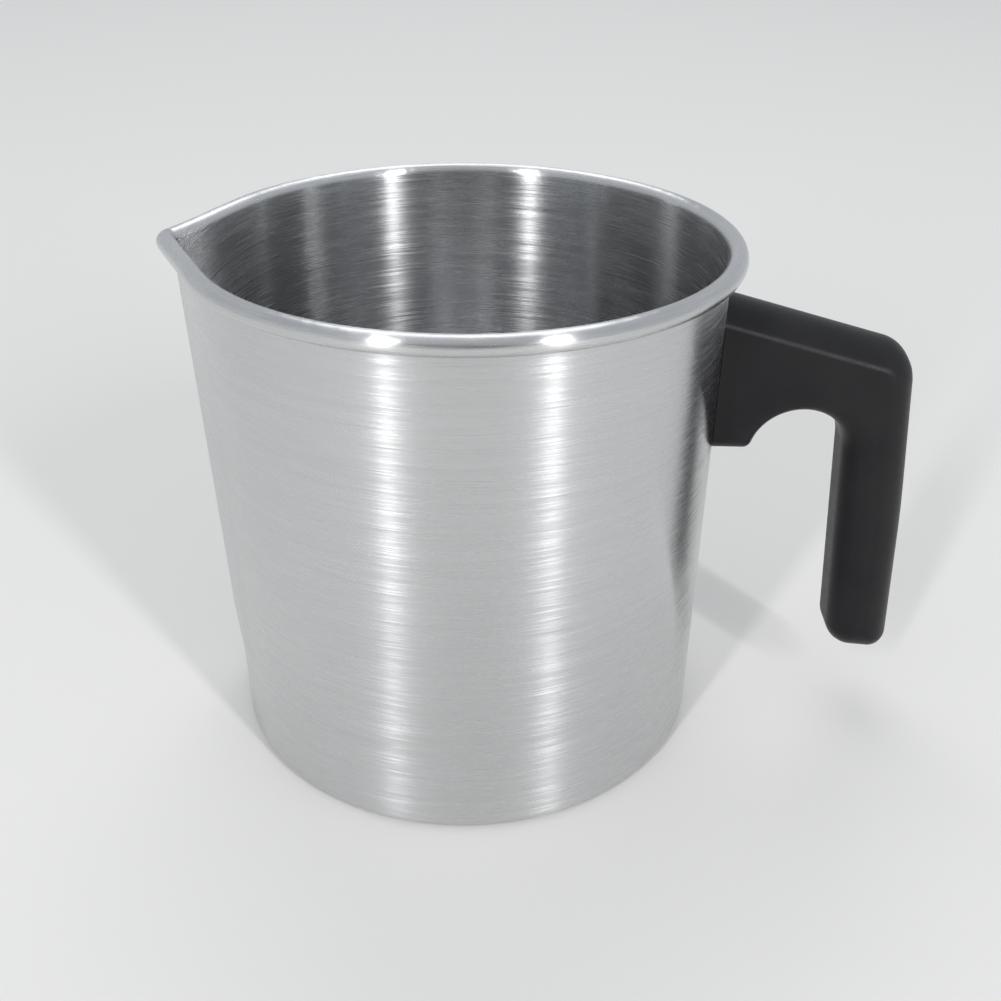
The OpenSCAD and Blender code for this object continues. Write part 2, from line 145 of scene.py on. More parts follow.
class Graph:
    """A node tree with short ways to add nodes and join them."""

    def __init__(self, tree: bpy.types.NodeTree) -> None:
        """Keep the tree and empty it."""
        self.tree = tree
        tree.nodes.clear()

    def add(self, kind: str, **settings: object) -> bpy.types.Node:
        """Add a node and set its properties by name."""
        node = self.tree.nodes.new(kind)
        for key, value in settings.items():
            setattr(node, key, value)
        return node

    def join(self, source: bpy.types.NodeSocket, target: bpy.types.NodeSocket) -> None:
        """Link one socket to another."""
        self.tree.links.new(source, target)

    def feed(self, target: bpy.types.NodeSocket, value: object) -> None:
        """Link a socket to the target, or set a plain value on it."""
        if isinstance(value, bpy.types.NodeSocket):
            self.join(value, target)
        else:
            target.default_value = value

    def sum(self, operation: str, a: object, b: object = 0.0, clamp: bool = False) -> bpy.types.NodeSocket:
        """Add a Math node and return its result."""
        node = self.add("ShaderNodeMath", operation=operation, use_clamp=clamp)
        self.feed(node.inputs[0], a)
        self.feed(node.inputs[1], b)
        return node.outputs[0]

    def spread(
        self, value: object, low: float, high: float, to_low: float, to_high: float
    ) -> bpy.types.NodeSocket:
        """Map a range of values to another and return the result."""
        node = self.add("ShaderNodeMapRange")
        self.feed(node.inputs["Value"], value)
        for key, number in (("From Min", low), ("From Max", high), ("To Min", to_low), ("To Max", to_high)):
            node.inputs[key].default_value = number
        return node.outputs["Result"]

    def blend(self, share: object, a: object, b: object) -> bpy.types.NodeSocket:
        """Mix two colours by a share and return the result."""
        node = self.add("ShaderNodeMix", data_type="RGBA")
        self.feed(node.inputs["Factor"], share)
        self.feed(node.inputs[6], a)
        self.feed(node.inputs[7], b)
        return node.outputs[2]

    def noise(
        self, vector: object, scale: float, detail: float = 2.0, roughness: float = 0.5
    ) -> bpy.types.NodeSocket:
        """Add a Noise texture and return its value."""
        node = self.add("ShaderNodeTexNoise")
        self.feed(node.inputs["Vector"], vector)
        node.inputs["Scale"].default_value = scale
        node.inputs["Detail"].default_value = detail
        node.inputs["Roughness"].default_value = roughness
        return node.outputs[0]

    def stretched(self, x: object, y: object, z: object) -> bpy.types.NodeSocket:
        """Combine three values into a vector."""
        node = self.add("ShaderNodeCombineXYZ")
        for target, value in zip(node.inputs, (x, y, z)):
            self.feed(target, value)
        return node.outputs[0]

    def bump(self, height: object, depth: float, strength: float) -> bpy.types.NodeSocket:
        """Add a Bump node and return its normal."""
        node = self.add("ShaderNodeBump")
        node.inputs["Strength"].default_value = strength
        node.inputs["Distance"].default_value = depth
        self.feed(node.inputs["Height"], height)
        return node.outputs[0]


class NodeGroups:
    """The effects that several finishes share, each built once."""

    @staticmethod
    def new(
        name: str, inputs: dict[str, float], outputs: Iterable[str]
    ) -> tuple[Graph, bpy.types.Node, bpy.types.Node]:
        """Start a node group with number inputs and outputs.

        Args:
            name: The group's name.
            inputs: Each input's name and default value.
            outputs: The outputs' names.

        Returns:
            The group's graph, its input node and its output node.
        """
        tree = bpy.data.node_groups.new(name, "ShaderNodeTree")
        for key, value in inputs.items():
            socket = tree.interface.new_socket(name=key, in_out="INPUT", socket_type="NodeSocketFloat")
            socket.default_value = value
        for key in outputs:
            tree.interface.new_socket(name=key, in_out="OUTPUT", socket_type="NodeSocketFloat")
        graph = Graph(tree)
        return graph, graph.add("NodeGroupInput"), graph.add("NodeGroupOutput")

    @staticmethod
    def turned_grain() -> bpy.types.NodeTree:
        """Return the group for fine lines that run round the Z axis.

        Inputs are the lines' Pitch and their Run, in metres. Lines is the fine pattern, and Bands
        is the slower change of shade from one stretch of wall to the next.
        """
        name = "turned_grain"
        if name in bpy.data.node_groups:
            return bpy.data.node_groups[name]
        graph, given, result = NodeGroups.new(name, {"Pitch": 0.0004, "Run": 0.012}, ("Lines", "Bands"))
        place = graph.add("ShaderNodeTexCoord").outputs["Object"]
        parts = graph.add("ShaderNodeSeparateXYZ")
        graph.join(place, parts.inputs[0])
        x, y, z = parts.outputs
        radius = graph.sum("SQRT", graph.sum("ADD", graph.sum("MULTIPLY", x, x), graph.sum("MULTIPLY", y, y)))
        across = graph.sum("ADD", z, radius)
        run, pitch = given.outputs["Run"], given.outputs["Pitch"]

        def pattern(long: object, short: object, detail: float, roughness: float) -> bpy.types.NodeSocket:
            """Return noise drawn out along the turning, with its long and its short size."""
            round_x, round_y = graph.sum("DIVIDE", x, long), graph.sum("DIVIDE", y, long)
            place = graph.stretched(round_x, round_y, graph.sum("DIVIDE", across, short))
            return graph.noise(place, 1.0, detail, roughness)

        graph.join(pattern(run, pitch, 3.0, 0.62), result.inputs["Lines"])
        slow, far = graph.sum("MULTIPLY", pitch, 4.5), graph.sum("MULTIPLY", run, 3.0)
        graph.join(pattern(far, slow, 2.0, 0.5), result.inputs["Bands"])
        return graph.tree

    @staticmethod
    def handling() -> bpy.types.NodeTree:
        """Return the group for the faint unevenness that handling leaves.

        Input is the size of the Patch, in metres. Smudge is the soft cloud of marks and Speck the
        fine dust in it.
        """
        name = "handling"
        if name in bpy.data.node_groups:
            return bpy.data.node_groups[name]
        graph, given, result = NodeGroups.new(name, {"Patch": 0.03}, ("Smudge", "Speck"))
        place = graph.add("ShaderNodeTexCoord").outputs["Object"]
        patch = graph.add("ShaderNodeVectorMath", operation="SCALE")
        graph.join(place, patch.inputs[0])
        graph.join(graph.sum("DIVIDE", 1.0, given.outputs["Patch"]), patch.inputs["Scale"])
        cloud = graph.noise(patch.outputs[0], 1.0, 4.0, 0.55)
        graph.join(graph.spread(cloud, 0.35, 0.7, 0.0, 1.0), result.inputs["Smudge"])
        dust = graph.noise(place, 2600.0, 2.0, 0.6)
        graph.join(graph.spread(dust, 0.62, 0.75, 0.0, 1.0), result.inputs["Speck"])
        return graph.tree


# ------------------------------------------------------------------------------ finishes


@dataclass(frozen=True)
class Finish:
    """What every finish has: a slot in the record and a base colour."""

    slot: Slot
    colour: tuple[float, float, float]

    def start(self) -> tuple[bpy.types.Material, Graph, bpy.types.Node]:
        """Make the material with its shader joined to the output.

        Returns:
            The material, its graph and its Principled node.
        """
        material = bpy.data.materials.new(self.slot.value)
        material.use_nodes = True
        graph = Graph(material.node_tree)
        shader = graph.add("ShaderNodeBsdfPrincipled")
        output = graph.add("ShaderNodeOutputMaterial")
        graph.join(shader.outputs[0], output.inputs["Surface"])
        material.diffuse_color = (*self.colour, 1.0)
        return material, graph, shader

    def place(self, graph: Graph, tree: bpy.types.NodeTree, **values: float) -> bpy.types.Node:
        """Put a node group in the material with its own values."""
        node = graph.add("ShaderNodeGroup", node_tree=tree)
        for key, value in values.items():
            node.inputs[key.capitalize()].default_value = value
        return node


@dataclass(frozen=True)
class TurnedAluminium(Finish):
    """Sheet aluminium brushed round and round on a lathe, so that lights draw upright streaks."""

    slot: Slot = Slot.POT
    colour: tuple[float, float, float] = (0.655, 0.660, 0.667)
    pitch: float = 0.26 * MM
    run: float = 16.0 * MM
    roughness: float = 0.23
    spread: float = 0.07
    smudged: float = 0.03
    line_depth: float = 0.02 * MM
    dark_line: float = 0.86
    light_line: float = 1.08
    band_share: float = 0.18
    anisotropy: float = 1.0
    quarter_turn: float = 0.25

    def build(self) -> bpy.types.Material:
        """Return the pot's brushed metal."""
        material, graph, shader = self.start()
        grain = self.place(graph, NodeGroups.turned_grain(), pitch=self.pitch, run=self.run)
        marks = self.place(graph, NodeGroups.handling(), patch=0.04)
        shader.inputs["Metallic"].default_value = 1.0
        shader.inputs["Anisotropic"].default_value = self.anisotropy
        shader.inputs["Anisotropic Rotation"].default_value = self.quarter_turn
        tangent = graph.add("ShaderNodeTangent", direction_type="UV_MAP", uv_map=GRAIN_MAP)
        graph.join(tangent.outputs[0], shader.inputs["Tangent"])
        dark = tuple(self.dark_line * c for c in self.colour) + (1.0,)
        light = tuple(self.light_line * c for c in self.colour) + (1.0,)
        lines = graph.sum("MULTIPLY", grain.outputs["Lines"], 1.0 - self.band_share)
        shade = graph.sum("ADD", lines, graph.sum("MULTIPLY", grain.outputs["Bands"], self.band_share))
        shade = graph.spread(shade, 0.3, 0.7, 0.0, 1.0)
        graph.join(graph.blend(shade, dark, light), shader.inputs["Base Color"])
        low, high = self.roughness - self.spread, self.roughness + self.spread
        rough = graph.spread(grain.outputs["Lines"], 0.3, 0.7, low, high)
        rough = graph.sum("ADD", rough, graph.sum("MULTIPLY", marks.outputs["Smudge"], self.smudged))
        graph.join(rough, shader.inputs["Roughness"])
        graph.join(graph.bump(grain.outputs["Lines"], self.line_depth, 0.6), shader.inputs["Normal"])
        return material


@dataclass(frozen=True)
class UpsetAluminium(Finish):
    """Plain aluminium as a rivet set leaves it: dull, with a little of the tool's ring."""

    slot: Slot = Slot.RIVET
    colour: tuple[float, float, float] = (0.68, 0.69, 0.70)
    roughness: float = 0.34

    def build(self) -> bpy.types.Material:
        """Return the rivets' metal."""
        material, graph, shader = self.start()
        marks = self.place(graph, NodeGroups.handling(), patch=0.003)
        shader.inputs["Metallic"].default_value = 1.0
        dark = tuple(0.8 * c for c in self.colour) + (1.0,)
        colour = graph.blend(marks.outputs["Smudge"], (*self.colour, 1.0), dark)
        graph.join(colour, shader.inputs["Base Color"])
        rough = graph.spread(marks.outputs["Smudge"], 0.0, 1.0, self.roughness, self.roughness + 0.12)
        graph.join(rough, shader.inputs["Roughness"])
        graph.join(graph.bump(marks.outputs["Smudge"], 0.00005, 0.4), shader.inputs["Normal"])
        return material


@dataclass(frozen=True)
class ZincPlate(Finish):
    """Bright zinc on steel, with the slight blue and yellow cast of its passivation."""

    slot: Slot = Slot.STEEL
    colour: tuple[float, float, float] = (0.60, 0.62, 0.64)
    warm: tuple[float, float, float] = (0.62, 0.60, 0.52)
    roughness: float = 0.27

    def build(self) -> bpy.types.Material:
        """Return the steel parts' plating."""
        material, graph, shader = self.start()
        marks = self.place(graph, NodeGroups.handling(), patch=0.004)
        shader.inputs["Metallic"].default_value = 1.0
        colour = graph.blend(marks.outputs["Smudge"], (*self.colour, 1.0), (*self.warm, 1.0))
        graph.join(colour, shader.inputs["Base Color"])
        rough = graph.spread(marks.outputs["Speck"], 0.0, 1.0, self.roughness, self.roughness + 0.2)
        graph.join(rough, shader.inputs["Roughness"])
        graph.join(graph.bump(marks.outputs["Speck"], 0.00003, 0.3), shader.inputs["Normal"])
        return material


@dataclass(frozen=True)
class BlackPhenolic(Finish):
    """Moulded black phenolic: a satin skin, very finely pebbled, that greys a little with handling."""

    slot: Slot = Slot.HANDLE
    colour: tuple[float, float, float] = (0.0085, 0.0082, 0.0100)
    greyed: tuple[float, float, float] = (0.0135, 0.0132, 0.0145)
    roughness: float = 0.36
    pebble: float = 1100.0
    shine: float = 0.22

    def build(self) -> bpy.types.Material:
        """Return the handle's moulding."""
        material, graph, shader = self.start()
        marks = self.place(graph, NodeGroups.handling(), patch=0.018)
        place = graph.add("ShaderNodeTexCoord").outputs["Object"]
        skin = graph.noise(place, self.pebble, 3.0, 0.55)
        colour = graph.blend(marks.outputs["Smudge"], (*self.colour, 1.0), (*self.greyed, 1.0))
        graph.join(colour, shader.inputs["Base Color"])
        rough = graph.spread(skin, 0.3, 0.7, self.roughness - 0.04, self.roughness + 0.05)
        rough = graph.sum("ADD", rough, graph.sum("MULTIPLY", marks.outputs["Smudge"], 0.06))
        graph.join(rough, shader.inputs["Roughness"])
        shader.inputs["Specular IOR Level"].default_value = self.shine
        graph.join(graph.bump(skin, 0.00004, 0.35), shader.inputs["Normal"])
        return material


@dataclass(frozen=True)
class FloorPaint:
    """The pale matt sweep that the pot stands on."""

    colour: tuple[float, float, float] = (0.77, 0.757, 0.74)
    roughness: float = 0.55
    shine: float = 0.25

    def build(self) -> bpy.types.Material:
        """Return the sweep's paint."""
        material = bpy.data.materials.new("studio_sweep")
        material.use_nodes = True
        graph = Graph(material.node_tree)
        shader = graph.add("ShaderNodeBsdfPrincipled")
        output = graph.add("ShaderNodeOutputMaterial")
        graph.join(shader.outputs[0], output.inputs["Surface"])
        shader.inputs["Base Color"].default_value = (*self.colour, 1.0)
        shader.inputs["Roughness"].default_value = self.roughness
        shader.inputs["Specular IOR Level"].default_value = self.shine
        return material


def dress(piece: bpy.types.Object, material: bpy.types.Material) -> None:
    """Give every material slot of a piece the same material."""
    if not piece.material_slots:
        piece.data.materials.append(material)
    for material_slot in piece.material_slots:
        material_slot.material = material


# ------------------------------------------------------------------------------ pot


@dataclass
class PotShell:
    """The drawn sheet: flat base, round wall, rolled rim and the spout pressed into it."""

    sheet: float = 1.0 * MM
    base_sheet: float = 1.2 * MM
    corner: float = 3.0 * MM
    bead: float = 2.2 * MM
    curl_gap: float = 0.15 * MM
    foot_z: float = 12.0 * MM
    heel_rise: float = 9.0 * MM
    heel_reach: float = 3.9 * MM
    tip_radius: float = 3.0 * MM
    foot_radius: float = 20.0 * MM
    foot_reach: float = 0.02 * MM
    lip_dip: float = 1.2 * MM
    formed_half_angle: float = 32.0
    wrinkle: float = 0.045 * MM
    wrinkle_pitch: float = 2.3 * MM
    unevenness: float = 0.02 * MM
    round_places: int = 600
    arc_places: int = 20
    side_places: int = 30
    tip_places: int = 20
    radius: float = field(init=False)
    height: float = field(init=False)
    rim_reach: float = field(init=False)

    def __post_init__(self) -> None:
        """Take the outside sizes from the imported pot."""
        low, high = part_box("pot_body")
        past_wall = 2.0 * self.bead - self.sheet
        self.height = high[2]
        self.radius = high[0] - past_wall
        self.rim_reach = -low[0] - past_wall - self.radius

    @property
    def bead_z(self) -> float:
        """Height of the bead's centre."""
        return self.height - self.bead

    def out(self, z: float) -> float:
        """Return how far the crease has come out at a height, from 0 at its foot to 1."""
        return smooth((z - self.foot_z) / self.heel_rise)

    def reach(self, z: float) -> float:
        """Return how far the crease stands out from the round wall at a height."""
        heel_z = self.foot_z + self.heel_rise
        above = max(0.0, (z - heel_z) / (self.bead_z - heel_z))
        return mix(self.foot_reach, mix(self.heel_reach, self.rim_reach, above), self.out(z))

    def stations(self) -> list[tuple[str, float]]:
        """Return the places round the wall, each as a stretch's name and a share of it.

        The stretches are the round wall, the near side of the spout, its tip and its far side.
        """
        places = [("round", share) for share in steps(0.0, 1.0, self.round_places, False)]
        places += [("near_arc", share) for share in steps(0.0, 1.0, self.arc_places, False)]
        places += [("near_side", share) for share in steps(0.0, 1.0, self.side_places, False)]
        places += [("tip", share) for share in steps(0.0, 1.0, self.tip_places, False)]
        places += [("far_side", share) for share in steps(1.0, 0.0, self.side_places, False)]
        places += [("far_arc", share) for share in steps(1.0, 0.0, self.arc_places, False)]
        return places

    def wrap(self, station: tuple[str, float], z: float) -> tuple[float, float, float, float]:
        """Return where the wall is at a station, as a line wrapped round two circles.

        Args:
            station: The stretch's name and the share of it.
            z: The height.

        Returns:
            The circle's centre along -X, its radius, the angle of the wall's normal from -X in
            degrees, and the share of the way from the round wall to the tip.
        """
        stretch, share = station
        half = self.formed_half_angle
        if stretch == "round":
            return 0.0, self.radius, mix(half, 360.0 - half, share), 0.0
        tip_radius = mix(self.foot_radius, self.tip_radius, self.out(z))
        tip_x = self.radius + self.reach(z) - tip_radius
        tangent = math.degrees(math.acos((self.radius - tip_radius) / tip_x))
        side = -1.0 if stretch.startswith("near") else 1.0
        if stretch == "tip":
            return tip_x, tip_radius, mix(-tangent, tangent, share), 1.0
        if stretch.endswith("arc"):
            return 0.0, self.radius, side * mix(half, tangent, share), 0.0
        return tip_x * share, mix(self.radius, tip_radius, share), side * tangent, share

    def wander(self, angle: float, z: float) -> float:
        """Return how far the sheet wanders from true at a place, which a hand would not feel."""
        around = Vector((math.cos(angle), math.sin(angle), 0.0)) * 2.6 + Vector((0.0, 0.0, z / 0.045))
        return self.unevenness * noise.noise(around) * smooth(z / 0.02)

    def pucker(self, angle: float, turn: float) -> float:
        """Return the height of the small radial wrinkles that rolling leaves across the bead.

        Args:
            angle: The place round the pot, in radians.
            turn: The place round the bead's own section, in radians: 0 outwards, and up at 90 degrees.
        """
        weight = smooth(math.sin(turn) * 1.3) * smooth(1.2 - math.cos(turn))
        along = angle * self.radius / self.wrinkle_pitch
        ripple = noise.noise(Vector((along, turn * 0.5, 7.0)))
        patches = 0.4 + smooth(0.5 + noise.noise(Vector((along / 9.0, 3.0, 1.0))))
        return self.wrinkle * weight * ripple * patches

    def point(self, station: tuple[str, float], out: float, z: float) -> Vector:
        """Return the point a distance outside the wall's outer face, at a station and height."""
        along, radius, degrees, share = self.wrap(station, min(z, self.bead_z))
        angle = math.radians(degrees)
        middle = self.height / 2.0
        dip = self.lip_dip * smooth(share) * smooth((z - middle) / (self.bead_z - middle))
        centre = self.bead - self.sheet
        away = math.hypot(out - centre, z - self.bead_z)
        if z > self.bead_z - self.bead and away > centre * 1.01:
            lift = self.pucker(angle, math.atan2(z - self.bead_z, out - centre)) / away
            out, z = out + (out - centre) * lift, z + (z - self.bead_z) * lift
        reach = radius + out + self.wander(angle, z)
        return Vector((-along - reach * math.cos(angle), reach * math.sin(angle), z - dip))

    def section(self) -> list[tuple[float, float]]:
        """Return the sheet's section from the base's underside to its inside.

        Each point is its distance outside the wall's outer face and its height. The section runs
        out under the base, up the wall, round the inside of the curl, back round its outside and
        down the inside of the wall.
        """
        inner_corner = self.corner - self.sheet
        floor_z = self.base_sheet + inner_corner
        heel_z = self.foot_z + self.heel_rise
        bead_x = self.bead - self.sheet
        curl_end = -math.acos((self.sheet + self.curl_gap) / self.bead - 1.0)
        quarter = math.pi / 2.0

        def arc(
            x: float, z: float, r: float, first: float, last: float, count: int
        ) -> list[tuple[float, float]]:
            """Return points on an arc about (x, z)."""
            return [(x + r * math.cos(a), z + r * math.sin(a)) for a in steps(first, last, count)]

        def disc(z: float) -> list[tuple[float, float]]:
            """Return points along the base, from near its middle to the corner."""
            rim = 1.0 - self.corner / self.radius
            return [(-self.radius * (1.0 - share), z) for share in steps(0.05, rim, 16, False)]

        def levels(low: float) -> list[float]:
            """Return the heights along the wall, close together where the spout leaves it."""
            return steps(low, heel_z, 14, False) + steps(heel_z, self.bead_z, 28)

        under = disc(0.0)
        corner = arc(-self.corner, self.corner, self.corner, -quarter, 0.0, 10)
        wall = [(0.0, z) for z in levels(self.corner)[1:-1]]
        inside_curl = arc(bead_x, self.bead_z, bead_x, math.pi, curl_end, 16)
        outside_curl = arc(bead_x, self.bead_z, self.bead, curl_end, math.pi, 34)
        inner_wall = [(-self.sheet, z) for z in reversed(levels(floor_z)[1:-1])]
        inner = arc(-self.corner, floor_z, inner_corner, 0.0, -quarter, 8)
        over = list(reversed(disc(self.base_sheet)))
        return under + corner + wall + inside_curl + outside_curl + inner_wall + inner + over

    def build(self, material: bpy.types.Material) -> bpy.types.Object:
        """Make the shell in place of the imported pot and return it."""
        stations = self.stations()
        section = self.section()
        count = len(stations)
        points = [self.point(station, out, z) for out, z in section for station in stations]
        faces: list[tuple[int, ...]] = []
        for row in range(len(section) - 1):
            faces += [tuple(reversed(quad)) for quad in ring_faces(row * count, (row + 1) * count, count)]
        last_row = (len(section) - 1) * count
        under_centre, over_centre = len(points), len(points) + 1
        points += [Vector((0.0, 0.0, 0.0)), Vector((0.0, 0.0, self.base_sheet))]
        faces += [(under_centre, i, (i + 1) % count) for i in range(count)]
        faces += [(over_centre, last_row + (i + 1) % count, last_row + i) for i in range(count)]
        piece = smooth_mesh("pot_shell", points, faces, 40.0)
        self.map_grain(piece, count, len(section))
        dress(piece, material)
        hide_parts("pot_body")
        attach(piece, ROOT_BODY)
        return piece

    @staticmethod
    def map_grain(piece: bpy.types.Object, count: int, rows: int) -> None:
        """Lay a map whose first axis runs round the pot, which the brushed grain follows.

        Args:
            piece: The shell.
            count: How many points a ring has.
            rows: How many rings there are.
        """
        mesh = piece.data
        layer = mesh.uv_layers.new(name=GRAIN_MAP)
        for polygon in mesh.polygons:
            indices = [mesh.loops[i].vertex_index for i in polygon.loop_indices]
            columns = [index % count for index in indices if index < rows * count]
            wraps = max(columns) - min(columns) > count / 2
            for i in polygon.loop_indices:
                index = mesh.loops[i].vertex_index
                if index >= rows * count:
                    row, column = (0 if index == rows * count else rows - 1), sum(columns) / len(columns)
                else:
                    row, column = divmod(index, count)
                    column += count if wraps and column < count / 2 else 0
                layer.data[i].uv = (column / count, row / rows)


# ------------------------------------------------------------------------------ handle


class Edge(Enum):
    """How an edge of the handle is rounded."""

    PLAIN = "plain"
    GRIP = "grip"
    CROWN = "crown"


@dataclass(frozen=True)
class Corner:
    """A corner of the handle's side outline, and the kind of edge that starts there."""

    x: float
    z: float
    radius: float
    edge: Edge = Edge.PLAIN


@dataclass
class Handle:
    """The moulded handle: a crowned arm, a heel against the wall and a grip with soft edges."""

    wall_radius: float
    thickness: float = 20.0 * MM
    edge: float = 4.0 * MM
    grip_edge: float = 7.0 * MM
    crown: float = 4.6 * MM
    crease: float = 0.9 * MM
    seat_gap: float = 0.1 * MM
    buried: float = 8.0 * MM
    arm_slope: float = 15.0
    heel_width: float = 8.6 * MM
    heel_slope: float = 17.0
    heel_height: float = 36.5 * MM
    arch_rise: float = 10.3 * MM
    finger_gap: float = 30.8 * MM
    grip_width: float = 15.6 * MM
    grip_lean: float = 4.6
    grip_bow: float = 0.8 * MM
    grip_end: float = 17.6 * MM
    heel_radius: float = 2.5 * MM
    arch_radius: float = 12.0 * MM
    end_inner_radius: float = 6.5 * MM
    end_outer_radius: float = 5.0 * MM
    bow_radius: float = 400.0 * MM
    elbow_radius: float = 9.0 * MM
    least_radius: float = 0.6 * MM
    corner_steps: int = 20
    edge_steps: int = 16
    top_steps: int = 8
    drop: float = 13.0 * MM
    bore_skin: float = 0.75 * MM
    bore_radius: float = 3.25 * MM
    bore_depth: float = 4.4 * MM
    pad: float = 3.6 * MM
    roof: float = 5.2 * MM
    pocket_gap: float = 0.3 * MM
    shank_radius: float = 1.65 * MM

    @property
    def top_z(self) -> float:
        """Height of the top of the handle at the wall."""
        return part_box("pot_body")[1].z - self.drop

    def corners(self) -> list[Corner]:
        """Return the outline's corners, anticlockwise from the heel's foot at the wall."""
        lean = math.tan(math.radians(self.grip_lean))
        slope = math.tan(math.radians(self.arm_slope))
        radius = self.wall_radius
        heel_z = self.top_z - self.heel_height
        arch_z = heel_z + self.arch_rise
        arch_x = radius + self.finger_gap
        heel_x = radius + self.heel_width
        across = self.grip_width / math.cos(math.radians(self.grip_lean))
        end_x = arch_x + (arch_z - self.grip_end) * lean
        end_z = self.grip_end - self.grip_width * lean
        outer_x = arch_x + across + lean * (arch_z - self.top_z - radius * slope)
        elbow_x = outer_x / (1.0 - lean * slope) - self.grip_bow
        elbow_z = self.top_z - (elbow_x - radius) * slope
        bow = (mix(end_x + across, elbow_x, 0.5) + self.grip_bow, mix(end_z, elbow_z, 0.5))
        shoulder_x = heel_x + self.arch_rise * math.tan(math.radians(self.heel_slope))
        return [
            Corner(radius - self.buried, heel_z, 0.0),
            Corner(heel_x, heel_z, self.heel_radius),
            Corner(shoulder_x, arch_z, self.arch_radius),
            Corner(arch_x, arch_z, self.arch_radius, Edge.GRIP),
            Corner(end_x, self.grip_end, self.end_inner_radius, Edge.GRIP),
            Corner(end_x + across, end_z, self.end_outer_radius, Edge.GRIP),
            Corner(*bow, self.bow_radius, Edge.GRIP),
            Corner(elbow_x, elbow_z, self.elbow_radius, Edge.CROWN),
            Corner(radius - self.buried, self.top_z + self.buried * slope, 0.0),
        ]

    def edge_inset(self, y: float, edge: Edge = Edge.PLAIN) -> float:
        """Return how far a rounded long edge has come in at a distance from the middle."""
        radius = self.grip_edge if edge is Edge.GRIP else self.edge
        past = max(0.0, abs(y) - (self.thickness / 2.0 - radius)) / radius
        return radius * (1.0 - math.sqrt(max(0.0, 1.0 - past * past)))

    def crown_inset(self, y: float) -> float:
        """Return how far the arm's top has come down: one arch across, and a tight turn at its ends."""
        half = self.thickness / 2.0
        past = max(0.0, abs(y) - (half - self.crease)) / self.crease
        turn = self.crease * (1.0 - math.sqrt(max(0.0, 1.0 - past * past)))
        return self.crown * (y / half) ** 2 + turn

    def ring(self, y: float) -> list[Vector]:
        """Return the outline at a distance from the handle's middle plane."""
        corners = self.corners()
        count = len(corners)
        inset = [self.crown_inset(y) if c.edge is Edge.CROWN else self.edge_inset(y, c.edge) for c in corners]
        taken = [self.edge_inset(y, c.edge) for c in corners]
        spots = [Vector((c.x, c.z)) for c in corners]
        ways = [(spots[(i + 1) % count] - spots[i]).normalized() for i in range(count)]
        moved = [self.shifted(spots[i], ways[i - 1], ways[i], inset[i - 1], inset[i]) for i in range(count)]
        radii = []
        for i, corner in enumerate(corners):
            outer = ways[i - 1].x * ways[i].y - ways[i - 1].y * ways[i].x > 0.0
            change = mix(taken[i - 1], taken[i], 0.5)
            moved_in = max(corner.radius - change, self.least_radius) if outer else corner.radius + change
            radii.append(0.0 if corner.radius == 0.0 else moved_in)
        line: list[Vector] = []
        for i in range(count):
            line += self.rounded(moved, radii, i)
        return [Vector((p.x, y, p.y)) for p in line]

    @staticmethod
    def shifted(spot: Vector, before: Vector, after: Vector, in_before: float, in_after: float) -> Vector:
        """Return where two edges cross once each has moved inwards by its own distance."""
        start = spot + Vector((-before.y, before.x)) * in_before
        other = spot + Vector((-after.y, after.x)) * in_after
        gap = other - start
        share = (gap.x * after.y - gap.y * after.x) / (before.x * after.y - before.y * after.x)
        return start + before * share

    @staticmethod
    def turn(spots: Sequence[Vector], i: int) -> float:
        """Return the angle by which the outline turns at a corner."""
        before = (spots[i] - spots[i - 1]).normalized()
        after = (spots[(i + 1) % len(spots)] - spots[i]).normalized()
        return math.acos(max(-1.0, min(1.0, before.dot(after))))

    def rounded(self, spots: Sequence[Vector], radii: Sequence[float], i: int) -> list[Vector]:
        """Return a corner as an arc, smaller where its neighbours leave it no room.

        Args:
            spots: All the corners.
            radii: Their radii.
            i: Which corner.

        Returns:
            The points of its arc, or the corner itself where it is sharp.
        """
        if radii[i] == 0.0:
            return [spots[i]]
        count = len(spots)
        following = (i + 1) % count
        takes = [radii[k] * math.tan(self.turn(spots, k) / 2.0) for k in range(count)]
        room_before = (spots[i] - spots[i - 1]).length / (takes[i] + takes[i - 1])
        room_after = (spots[following] - spots[i]).length / (takes[i] + takes[following])
        share = min(1.0, room_before, room_after)
        before = (spots[i] - spots[i - 1]).normalized()
        after = (spots[following] - spots[i]).normalized()
        bend = 1.0 if before.x * after.y - before.y * after.x > 0.0 else -1.0
        left = Vector((-before.y, before.x)) * bend
        centre = spots[i] - before * takes[i] * share + left * radii[i] * share
        arm = -left * radii[i] * share
        sweep = self.turn(spots, i) * bend
        points = []
        for angle in steps(0.0, sweep, self.corner_steps):
            c, s = math.cos(angle), math.sin(angle)
            points.append(centre + Vector((arm.x * c - arm.y * s, arm.x * s + arm.y * c)))
        return points

    def blank(self) -> bpy.types.Object:
        """Make the moulding before the wall, the bracket and the screw are cut out of it."""
        half = self.thickness / 2.0
        widest = max(self.edge, self.grip_edge)
        flat = half - widest
        sides = [flat + widest * math.cos(a) for a in steps(0.0, math.pi / 2.0, self.edge_steps, False)]
        middle = steps(flat, -flat, self.top_steps)
        places = sides + middle + [-y for y in reversed(sides)]
        rings = [self.ring(y) for y in places]
        count = len(rings[0])
        points = [p for ring in rings for p in ring]
        faces: list[tuple[int, ...]] = [tuple(range(count))]
        for row in range(len(rings) - 1):
            faces += ring_faces((row + 1) * count, row * count, count)
        last = (len(rings) - 1) * count
        faces.append(tuple(last + i for i in reversed(range(count))))
        return smooth_mesh("handle_moulding", points, [tuple(reversed(f)) for f in faces], 180.0)

